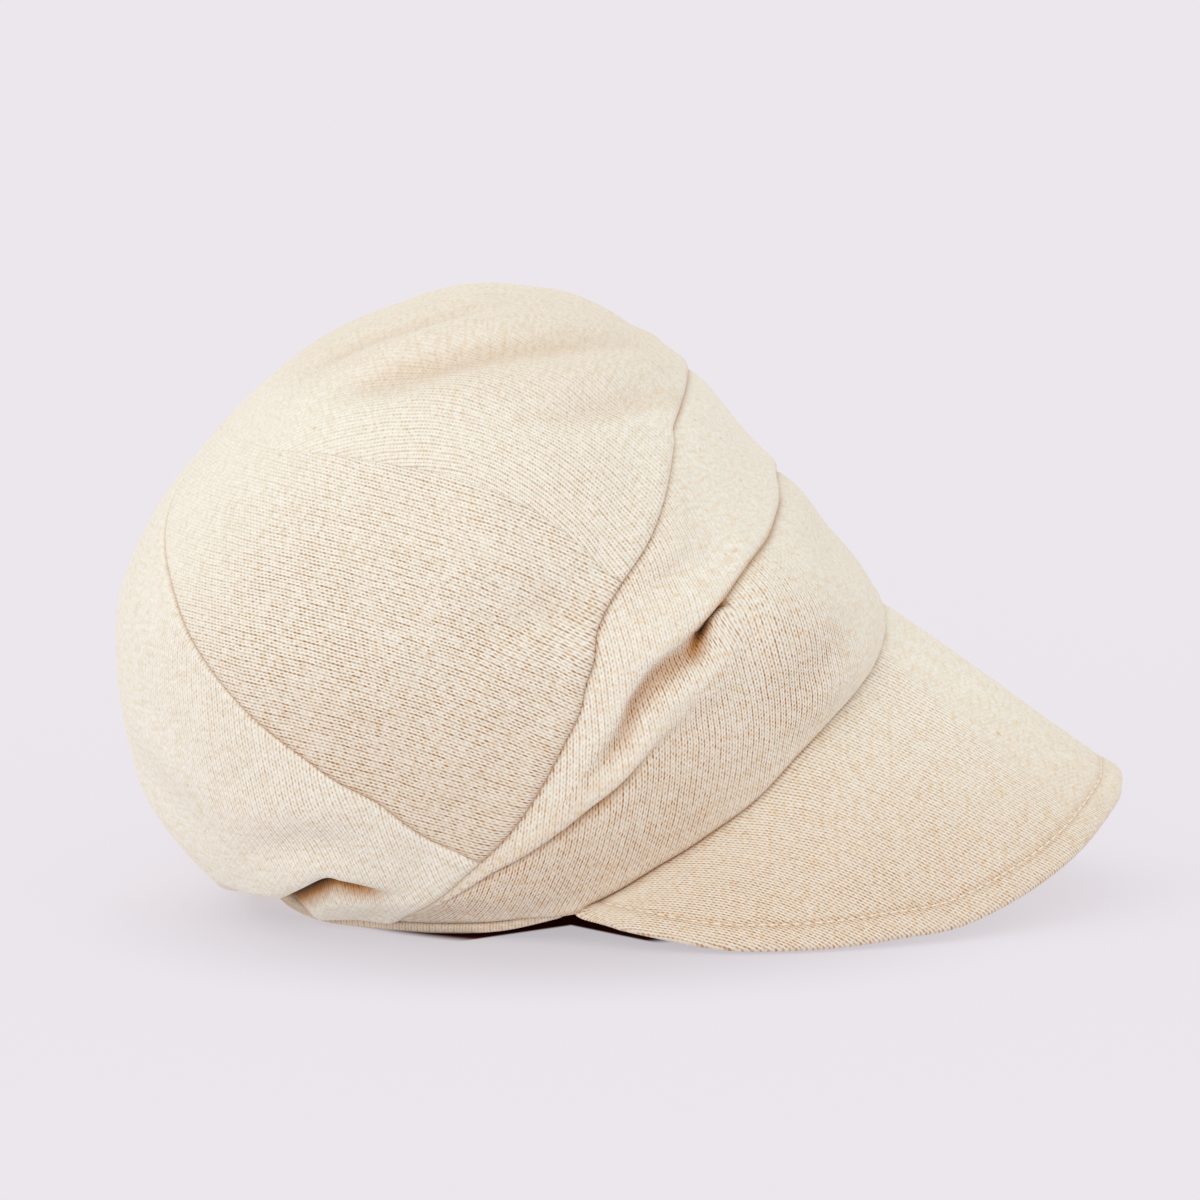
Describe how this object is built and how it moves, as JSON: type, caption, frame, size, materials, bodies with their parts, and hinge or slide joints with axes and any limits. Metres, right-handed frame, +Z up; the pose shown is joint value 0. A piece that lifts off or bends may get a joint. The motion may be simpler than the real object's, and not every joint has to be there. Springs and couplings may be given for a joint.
{
  "type": "knitted peaked cap",
  "caption": "Soft knitted cap with a panelled crown, a draped band with a deep pleat and a stitched, downturned peak, lying on its rim with the hollow open below.",
  "frame": {"origin": "centre of the bounding box's underside, on the surface that the cap lies on", "axes": "+X forwards along the peak, +Y to the wearer's left, +Z up"},
  "size_m": [0.2922, 0.1962, 0.1756],
  "materials": {
    "knit": "soft knitted wool jersey",
    "peak_knit": "the same jersey, drawn flat over a stiffener and topstitched",
    "hem_knit": "the same jersey, turned and sewn"
  },
  "bodies": {
    "root": {"crown_top": "knit", "crown_side_right": "knit", "crown_side_left": "knit", "crown_back": "knit", "band": "knit", "peak": "peak_knit", "hem": "hem_knit"}
  },
  "joints": []
}
